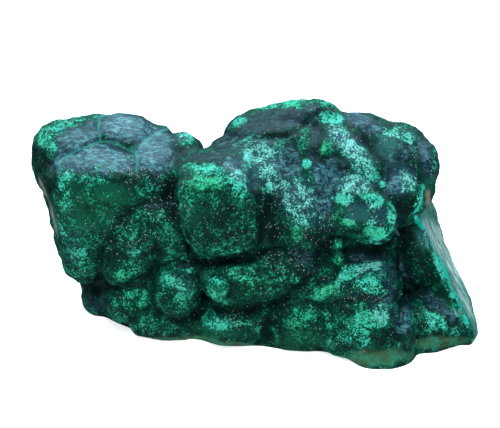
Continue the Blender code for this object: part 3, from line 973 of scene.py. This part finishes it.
def srgb(code):
    # A hex colour such as "1f7a5c" as linear red, green and blue.
    parts = [int(code[i:i + 2], 16) / 255 for i in (0, 2, 4)]
    return (*[p / 12.92 if p <= 0.04045 else ((p + 0.055) / 1.055) ** 2.4 for p in parts], 1.0)


def fillSockets(tree, node, links):
    # Gives each named socket of a node its link or its value.
    for socket, value in links.items():
        if isinstance(value, bpy.types.NodeSocket):
            tree.links.new(value, node.inputs[socket])
        else:
            node.inputs[socket].default_value = value


def addNode(tree, kind, links, out=0, **settings):
    # Adds one node with its settings and links, and returns one of its outputs.
    node = tree.nodes.new("ShaderNode" + kind)
    for name, value in settings.items():
        setattr(node, name, value)
    fillSockets(tree, node, links)
    return node.outputs[out]


def perMm(size):
    # Scale of a texture whose cells measure size in mm, for coordinates in metres.
    return 1 / (size * mm)


def newMaterial(name):
    material = bpy.data.materials.new(name)
    material.use_nodes = True
    return material, partial(addNode, material.node_tree)


def finishMaterial(material, links):
    tree = material.node_tree
    fillSockets(tree, tree.nodes["Principled BSDF"], links)


velvetPlan = {
    "night": "03191a",        # under the needles; also the painted shade in grooves and shaded patches
    "forest": "034634",       # the lobes' own green
    "soft": "0a6448",         # smooth green spots
    "softUnderSheen": "387c78",         # the same under a painted sky reflection
    "slateSheen": "1c4654",        # smooth dark cells under a painted bluish sky reflection
    "skySheenSkin": "27465a",         # skin under a painted bluish sky reflection
    "basalt": "0c1a28",       # the darkest of them, with a grainy film
    "jade": "0e8866",         # needle tufts
    "leaf": "0b8c58",         # the same, on the greenest lobes
    # pale tips of the tufts, partly painted sheen
    "mintSheen": "58dcc2",
    "sky": "b8e4f0",          # tufts under a painted bluish sky reflection
    "paintedSkyStreaks": "7cc6cc",        # painted sky reflection in those streaks
    "spring": "36c890",
    # painted glints
    "glint": "fff8f2",
    "seam": "2c8a7c",
    "turquoise": "10ccb4",    # veins along sharp edges
    "olive": "4c6c48",        # glassy broken sole
    "sole": "3c9070",         # greener glass in that sole
    "bone": "9c9080",
    # each noise: size in mm, detail, roughness and distortion
    "noises": {
        "tone": (9.0, 3.0, 0.5, 0.0),      # slow change of the green
        "clump": (2.8, 3.0, 0.6, 0.0),     # clumps of tufts
        "curl": (1.2, 1.0, 0.5, 1.0),      # curled tufts
        "fleck": (0.52, 3.0, 0.78, 0.0),   # single tufts, coarser than the real 0.1 mm needles
        "ripple": (1.3, 2.0, 0.5, 1.6),    # ripples of the film over the dark cells
    },
    "streak": 1.4,            # size in mm of the painted sky-reflection streaks on the smooth cells
    "streakStretch": (0.75, 1.25, 1.25),
    "glintSpacing": 0.42,     # painted glints of needle ends, drawn coarser in the same way
    "glintShare": (0.42, 0.04),       # share of them that flash: in a patch, and anywhere
    "napHeight": 0.12,
    "filmHeight": 0.30,
    "filmWeight": (0.42, 0.16),       # clear film: added where the sky reflection is painted, and anywhere
    "greenLevel": (0.30, 0.84),       # levels from the depths to the lobes' green
    "tuftLevel": (0.82, 0.96),        # levels at which tufts start and are full
    "brightLevel": (0.95, 1.12),      # and their pale tips
    # how each field thickens or thins the tufts, and how far it hides the green; the shade fields lay
    # painted shade, the patches of pale tufts painted sheen, and roundness painted light on standing
    # lobes and painted shade in hollows
    "thickness": {"mintSheen": 0.40, "round": 0.16, "paintedShade": -0.14, "grooveShade": -0.18, "slateSheen": -0.26,
                  "soft": -0.14},
    "cover": {"skySheen": 0.80, "slateSheen": 0.85, "paintedShade": 0.75, "soft": 0.70, "grooveShade": 0.45},
}


def velvetMalachite():
    # Fibrous malachite grown as a velvet of needles, with a clear wet-looking film over it:
    # dark green depths, pale curled tufts with painted sheen where the needles catch the light,
    # painted shade in grooves and hollows, painted glints, and a bluish gloss that is partly painted
    # sky reflection.
    plan = velvetPlan
    material, add = newMaterial("malachiteVelvet")
    place = add("TexCoord", {}, "Object")
    field = {name: add("Attribute", {}, "Fac", attribute_name=name)
             for name in (*patches, "front", "grooveShade", "seam", "vein", "round")}
    tone, clump, curl, fine, ripple = (
        add("TexNoise", {"Vector": place, "Scale": perMm(size), "Detail": detail,
                         "Roughness": roughness, "Distortion": distortion})
        for size, detail, roughness, distortion in plan["noises"].values())
    # curled threads where the curl noise crosses its middle
    offMiddle = add("Math", {0: curl, 1: 0.5}, operation="SUBTRACT")
    offMiddle = add("Math", {0: offMiddle}, operation="ABSOLUTE")
    thread = add("MapRange", {"Value": offMiddle, "From Min": 0.0, "From Max": 0.08,
                              "To Min": 1.0, "To Max": 0.0})
    grain = add("MapRange", {"Value": fine, "From Min": 0.30, "From Max": 0.70})
    speck = add("Math", {0: grain, 1: 0.78}, operation="MULTIPLY")
    speck = add("Math", {0: thread, 1: 0.25, 2: speck}, operation="MULTIPLY_ADD")
    speck = add("Math", {0: curl, 1: 0.40, 2: speck}, operation="MULTIPLY_ADD")
    speck = add("Math", {0: speck, 1: 0.13}, operation="SUBTRACT")
    # the dark cells end at a crisp, ragged edge
    ragged = add("Math", {0: grain, 1: 0.30, 2: field["slateSheen"]}, operation="MULTIPLY_ADD")
    field["slateSheen"] = add("MapRange", {"Value": ragged, "From Min": 0.46, "From Max": 0.76},
                         interpolation_type="SMOOTHSTEP")
    # how thick the tufts stand
    thick = add("Math", {0: clump, 1: 1.3, 2: -0.65}, operation="MULTIPLY_ADD")
    for name, weight in plan["thickness"].items():
        thick = add("Math", {0: field[name], 1: weight, 2: thick}, operation="MULTIPLY_ADD")
    away = add("Math", {0: 1.0, 1: field["front"]}, operation="SUBTRACT")
    away = add("Math", {0: away, 1: 0.10, 2: 0.12}, operation="MULTIPLY_ADD")
    thick = add("Math", {0: thick, 1: away}, operation="ADD")
    level = add("Math", {0: speck, 1: thick}, operation="ADD")
    level = add("Math", {0: tone, 1: 0.5, 2: level}, operation="MULTIPLY_ADD")
    level = add("Math", {0: level, 1: 0.25}, operation="SUBTRACT")
    tuft, bright = (add("MapRange", {"Value": level, "From Min": low, "From Max": high},
                        interpolation_type="SMOOTHSTEP")
                    for low, high in (plan["tuftLevel"], plan["brightLevel"]))
    # the patches of pale tufts, painted sheen and highlights, let the pale tips show
    tipSheen = add("MapRange", {"Value": field["mintSheen"], "From Min": 0.10, "From Max": 0.60,
                             "To Min": 0.30})
    bright = add("Math", {0: bright, 1: tipSheen}, operation="MULTIPLY")
    # shades that run from one colour to another; the cells and the smooth spots run to their look under
    # the painted sky reflection
    low, high = plan["greenLevel"]
    green = add("MapRange", {"Value": level, "From Min": low, "From Max": high})
    glassy = add("MapRange", {"Value": clump, "From Min": 0.42, "From Max": 0.60})
    colour, cell, soft, jade, mintSheen, sole = (
        add("Mix", {0: share, 6: srgb(plan[one]), 7: srgb(plan[other])}, 2, data_type="RGBA")
        for share, one, other in (
            (green, "night", "forest"), (field["skySheen"], "basalt", "slateSheen"),
            (field["skySheen"], "soft", "softUnderSheen"), (field["emerald"], "jade", "leaf"),
            (field["emerald"], "mintSheen", "spring"), (glassy, "olive", "sole")))
    pit = add("Math", {0: grain, 1: -0.8, 2: 0.8}, operation="MULTIPLY_ADD")
    cell = add("Mix", {0: pit, 6: cell, 7: srgb(plan["night"])}, 2, data_type="RGBA")
    patchy = add("MapRange", {"Value": grain, "To Min": 0.55, "To Max": 1.15})
    field["soft"] = add("Math", {0: field["soft"], 1: patchy}, operation="MULTIPLY")
    # tuft tips take the painted bluish sky reflection where it is painted
    skyOnTips = add("Math", {0: field["skySheen"], 1: 0.65}, operation="MULTIPLY")
    mintSheen = add("Mix", {0: skyOnTips, 6: mintSheen, 7: srgb(plan["sky"])}, 2, data_type="RGBA")
    uneven = add("MapRange", {"Value": grain, "From Min": 0.20, "From Max": 0.80, "To Min": 0.25})
    mintSheen = add("Mix", {0: uneven, 6: jade, 7: mintSheen}, 2, data_type="RGBA")
    # smooth cells carry painted reflection: fine bluish streaks of sky
    streak = add("Mapping", {"Vector": place, "Scale": plan["streakStretch"]})
    streak = add("TexNoise", {"Vector": streak, "Scale": perMm(plan["streak"]), "Detail": 5.0,
                              "Roughness": 0.74, "Distortion": 0.8})
    streak = add("MapRange", {"Value": streak, "From Min": 0.46, "From Max": 0.68})
    paintedSkyStreaks = add("Math", {0: field["slateSheen"], 1: field["skySheen"]}, operation="MULTIPLY")
    paintedSkyStreaks = add("Math", {0: paintedSkyStreaks, 1: 0.56, 2: 0.16}, operation="MULTIPLY_ADD")
    paintedSkyStreaks = add("Math", {0: paintedSkyStreaks, 1: field["slateSheen"]}, operation="MULTIPLY")
    paintedSkyStreaks = add("Math", {0: streak, 1: paintedSkyStreaks}, operation="MULTIPLY")
    ragged = add("Math", {0: grain, 1: 0.60, 2: field["vein"]}, operation="MULTIPLY_ADD")
    field["vein"] = add("MapRange", {"Value": ragged, "From Min": 0.66, "From Max": 1.06})
    # painted glints: single needle ends drawn as white dots in the base colour
    dots = {"Vector": place, "Scale": perMm(plan["glintSpacing"])}
    near = add("TexVoronoi", dots, "Distance", distance="EUCLIDEAN")
    pick = add("TexVoronoi", dots, "Color")
    pick = add("SeparateColor", {"Color": pick}, "Red")
    dot = add("MapRange", {"Value": near, "From Min": 0.08, "From Max": 0.30, "To Min": 1.0,
                           "To Max": 0.0})
    more, least = plan["glintShare"]
    often = add("Math", {0: field["glint"], 1: more, 2: least}, operation="MULTIPLY_ADD")
    chosen = add("Math", {0: pick, 1: often}, operation="LESS_THAN")
    paintedGlint = add("Math", {0: dot, 1: chosen}, operation="MULTIPLY")
    # layers of colour, from the depths up; the painted shade, the painted sky reflection and its
    # streaks, the sheen on the tufts and the glints are painted light
    shades = {"skySheen": srgb(plan["skySheenSkin"]), "slateSheen": cell, "soft": soft}
    layers = [(add("Math", {0: field[name], 1: weight}, operation="MULTIPLY"),
               shades.get(name, srgb(plan["night"]))) for name, weight in plan["cover"].items()]
    layers += [(paintedSkyStreaks, srgb(plan["paintedSkyStreaks"])), (tuft, jade), (bright, mintSheen),
               (field["vein"], srgb(plan["turquoise"])), (field["seam"], srgb(plan["seam"])),
               (field["olive"], sole), (field["bone"], srgb(plan["bone"])),
               (paintedGlint, srgb(plan["glint"]))]
    for share, shade in layers:
        colour = add("Mix", {0: share, 6: colour, 7: shade}, 2, data_type="RGBA")
    rough = add("Math", {0: field["slateSheen"], 1: -0.15, 2: 0.45}, operation="MULTIPLY_ADD")
    height = add("Math", {0: tuft, 1: 0.5, 2: speck}, operation="MULTIPLY_ADD")
    bump = add("Bump", {"Height": height, "Distance": plan["napHeight"] * mm, "Strength": 0.8})
    smooth = add("Math", {0: field["skySheen"], 1: -0.8, 2: 1.0}, operation="MULTIPLY_ADD")
    film = add("Math", {0: ripple, 1: 4.0, 2: speck}, operation="MULTIPLY_ADD")
    film = add("Math", {0: film, 1: smooth}, operation="MULTIPLY")
    film = add("Bump", {"Height": film, "Distance": plan["filmHeight"] * mm, "Strength": 1.0})
    more, least = plan["filmWeight"]
    wet = add("Math", {0: field["skySheen"], 1: more, 2: least}, operation="MULTIPLY_ADD")
    patchy = add("MapRange", {"Value": fine, "From Min": 0.36, "From Max": 0.64, "To Min": 0.25,
                              "To Max": 1.9})
    wet = add("Math", {0: wet, 1: patchy}, operation="MULTIPLY")
    finishMaterial(material, {
        "Base Color": colour, "Roughness": rough, "Normal": bump, "Coat Normal": film,
        "IOR": 1.6, "Specular IOR Level": 0.10,
        "Coat Weight": wet, "Coat Roughness": 0.14, "Coat IOR": 1.4,
    })
    return material


brokenPlan = {
    "deep": "0a3a2b",         # the bands, from dark to pale
    "leaf": "24795a",
    "glassDeep": "0c5444",    # the newest break
    "glassPale": "6aa898",
    "fibre": 0.9,             # width in mm of the fibres that run down it
    "fibreWay": (0.434, -0.257, -0.862),   # the way that they run
    "pale": "8dbfa9",
    "glareGrey": "ccd8d2",         # painted pale highlight on the newest break
    "matrix": "54482f",       # brown stain of the rock that it grew in
    "band": 1.3,              # sizes in mm: spacing of the bands
    "waver": 5.0,
    "grain": 0.6,
    "matrixSize": 7.0,
    "relief": 0.10,
}


def bandedMalachite():
    # Malachite broken through its layers: silky bands of light and dark green, glassy in places,
    # which follow the skin like the rings of an onion.
    plan = brokenPlan
    material, add = newMaterial("malachiteBanded")
    place = add("TexCoord", {}, "Object")
    shell, fresh, skySheen = (add("Attribute", {}, "Fac", attribute_name=name)
                           for name in ("shell", "fresh", "skySheen"))
    waver = add("TexNoise", {"Vector": place, "Scale": perMm(plan["waver"]), "Detail": 3.0})
    depth = add("Math", {0: waver, 1: 3.0, 2: shell}, operation="MULTIPLY_ADD")
    bands = add("TexNoise", {"W": depth, "Scale": 1 / plan["band"], "Detail": 3.0,
                             "Roughness": 0.7}, noise_dimensions="1D")
    grain = add("TexNoise", {"Vector": place, "Scale": perMm(plan["grain"]), "Detail": 3.0})
    light = add("MapRange", {"Value": bands, "From Min": 0.32, "From Max": 0.68})
    light = add("Math", {0: grain, 1: 0.3, 2: light}, operation="MULTIPLY_ADD")
    colour = add("Mix", {0: light, 6: srgb(plan["deep"]), 7: srgb(plan["leaf"])}, 2,
                 data_type="RGBA")
    pale = add("MapRange", {"Value": light, "From Min": 0.75, "From Max": 1.15})
    stain = add("TexNoise", {"Vector": place, "Scale": perMm(plan["matrixSize"]), "Detail": 5.0,
                             "Roughness": 0.65})
    stain = add("MapRange", {"Value": stain, "From Min": 0.60, "From Max": 0.70},
                interpolation_type="SMOOTHSTEP")
    # the newest break is glassier and fibrous, with a painted pale highlight near its top
    fibre = add("VectorMath", {0: place, 1: plan["fibreWay"]}, operation="CROSS_PRODUCT")
    fibre = add("TexNoise", {"Vector": fibre, "Scale": perMm(plan["fibre"]), "Detail": 4.0,
                             "Roughness": 0.7})
    glass = add("MapRange", {"Value": fibre, "From Min": 0.42, "From Max": 0.60})
    glass = add("Mix", {0: glass, 6: srgb(plan["glassDeep"]), 7: srgb(plan["glassPale"])}, 2,
                data_type="RGBA")
    glassy = add("Math", {0: fresh, 1: 0.85}, operation="MULTIPLY")
    freshSheen = add("Math", {0: fresh, 1: skySheen}, operation="MULTIPLY")
    freshGlare = add("MapRange", {"Value": fibre, "From Min": 0.40, "From Max": 0.60, "To Min": 0.10})
    freshGlare = add("Math", {0: freshSheen, 1: freshGlare}, operation="MULTIPLY")
    for share, shade in ((pale, srgb(plan["pale"])), (stain, srgb(plan["matrix"])),
                         (glassy, glass), (freshGlare, srgb(plan["glareGrey"]))):
        colour = add("Mix", {0: share, 6: colour, 7: shade}, 2, data_type="RGBA")
    height = add("Math", {0: grain, 1: 0.5, 2: bands}, operation="MULTIPLY_ADD")
    bump = add("Bump", {"Height": height, "Distance": plan["relief"] * mm, "Strength": 0.7})
    rough = add("MapRange", {"Value": grain, "From Min": 0.3, "From Max": 0.7, "To Min": 0.28,
                             "To Max": 0.5})
    finishMaterial(material, {
        "Base Color": colour, "Roughness": rough, "Normal": bump,
        "IOR": 1.65, "Coat Weight": 0.4, "Coat Roughness": 0.12, "Coat IOR": 1.45,
    })
    return material


roomPlan = {
    "floorHalf": 3.0,
    "floorColour": "f6f7f7",
    "airLight": (0.30, 0.60, 0.66),   # colour of the dim light all round, seen in gloss
    "airStrength": 0.14,
    "tableGlow": (0.60, 0.82),        # as it lights the stone, and as the camera sees it
    "backdrop": (0.93, 0.94, 0.95),
}


def buildRoom():
    mesh = bmesh.new()
    bmesh.ops.create_grid(mesh, x_segments=1, y_segments=1, size=roomPlan["floorHalf"])
    floor = newObject("paleFloor", mesh)
    material, add = newMaterial("paleCard")
    seen = add("LightPath", {}, "Is Camera Ray")
    dim, bright = roomPlan["tableGlow"]
    glow = add("MapRange", {"Value": seen, "To Min": dim, "To Max": bright})
    finishMaterial(material, {
        "Base Color": srgb(roomPlan["floorColour"]), "Roughness": 0.9,
        "Emission Color": srgb(roomPlan["floorColour"]), "Emission Strength": glow,
    })
    floor.data.materials.append(material)
    floor.visible_glossy = False
    world = bpy.data.worlds.new("studioAir")
    world.use_nodes = True
    bpy.context.scene.world = world
    add = partial(addNode, world.node_tree)
    dim = add("Background", {"Color": (*roomPlan["airLight"], 1), "Strength": roomPlan["airStrength"]})
    pale = add("Background", {"Color": (*roomPlan["backdrop"], 1), "Strength": 1.0})
    seen = add("LightPath", {}, "Is Camera Ray")
    both = add("MixShader", {0: seen, 1: dim, 2: pale})
    world.node_tree.links.new(both, world.node_tree.nodes["World Output"].inputs["Surface"])


lampAim = (0, 0, 0.03)
lampPlan = {
    # name: (place in m, width and height in m, colour, power in W, shows in the stone's gloss)
    "overhead panel": ((0.0, 0.60, 0.56), (1.2, 0.5), (0.52, 0.84, 0.96), 11.5, True),
    "front panel": ((0.05, -0.20, 0.85), (1.4, 0.80), (0.54, 0.82, 0.96), 7.0, True),
    "front lamp": ((-0.15, -0.35, 0.85), (0.22, 0.22), (1.0, 0.97, 0.92), 3.5, False),
}


def aimAt(item, target):
    item.rotation_mode = "QUATERNION"
    item.rotation_quaternion = (Vector(target) - item.location).to_track_quat("-Z", "Y")


def addLights():
    for name, (place, size, colour, power, glossy) in lampPlan.items():
        lamp = bpy.data.lights.new(name, "AREA")
        lamp.shape = "RECTANGLE"
        lamp.size, lamp.size_y = size
        lamp.color = colour
        lamp.energy = power
        item = bpy.data.objects.new(name, lamp)
        item.location = place
        aimAt(item, lampAim)
        item.visible_glossy = glossy
        bpy.context.scene.collection.objects.link(item)


def addCamera():
    # The sight line of the front drawing is the camera's own.
    camera = bpy.data.cameras.new("camera")
    camera.sensor_width = 36.0
    distance = frontSheet["eyeDistance"]
    camera.lens = camera.sensor_width * distance / (2 * frontSheet["centre"][0] * frontSheet["square"])
    camera.clip_start = 0.01
    item = bpy.data.objects.new("camera", camera)
    back = Vector(sightAxes()[0])
    item.location = (Vector(frontSheet["aim"]) + back * distance) * mm
    aimAt(item, Vector(frontSheet["aim"]) * mm)
    bpy.context.scene.collection.objects.link(item)
    bpy.context.scene.camera = item


print("stone: lobes, breaks and skin")
stone = buildStone()
print("stone: relief")
layRelief(stone.data)
print("stone: colour fields")
brokenShare = layFields(stone.data)
stone.data.materials.clear()
stone.data.materials.append(velvetMalachite())
stone.data.materials.append(bandedMalachite())
assignFaces(stone.data, brokenShare)
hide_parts(stoneNode)
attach(stone, "root")
print("room, lights and camera")
buildRoom()
addLights()
addCamera()
bpy.context.scene.view_settings.view_transform = "Standard"
print("stone triangles:", sum(len(p.vertices) - 2 for p in stone.data.polygons))
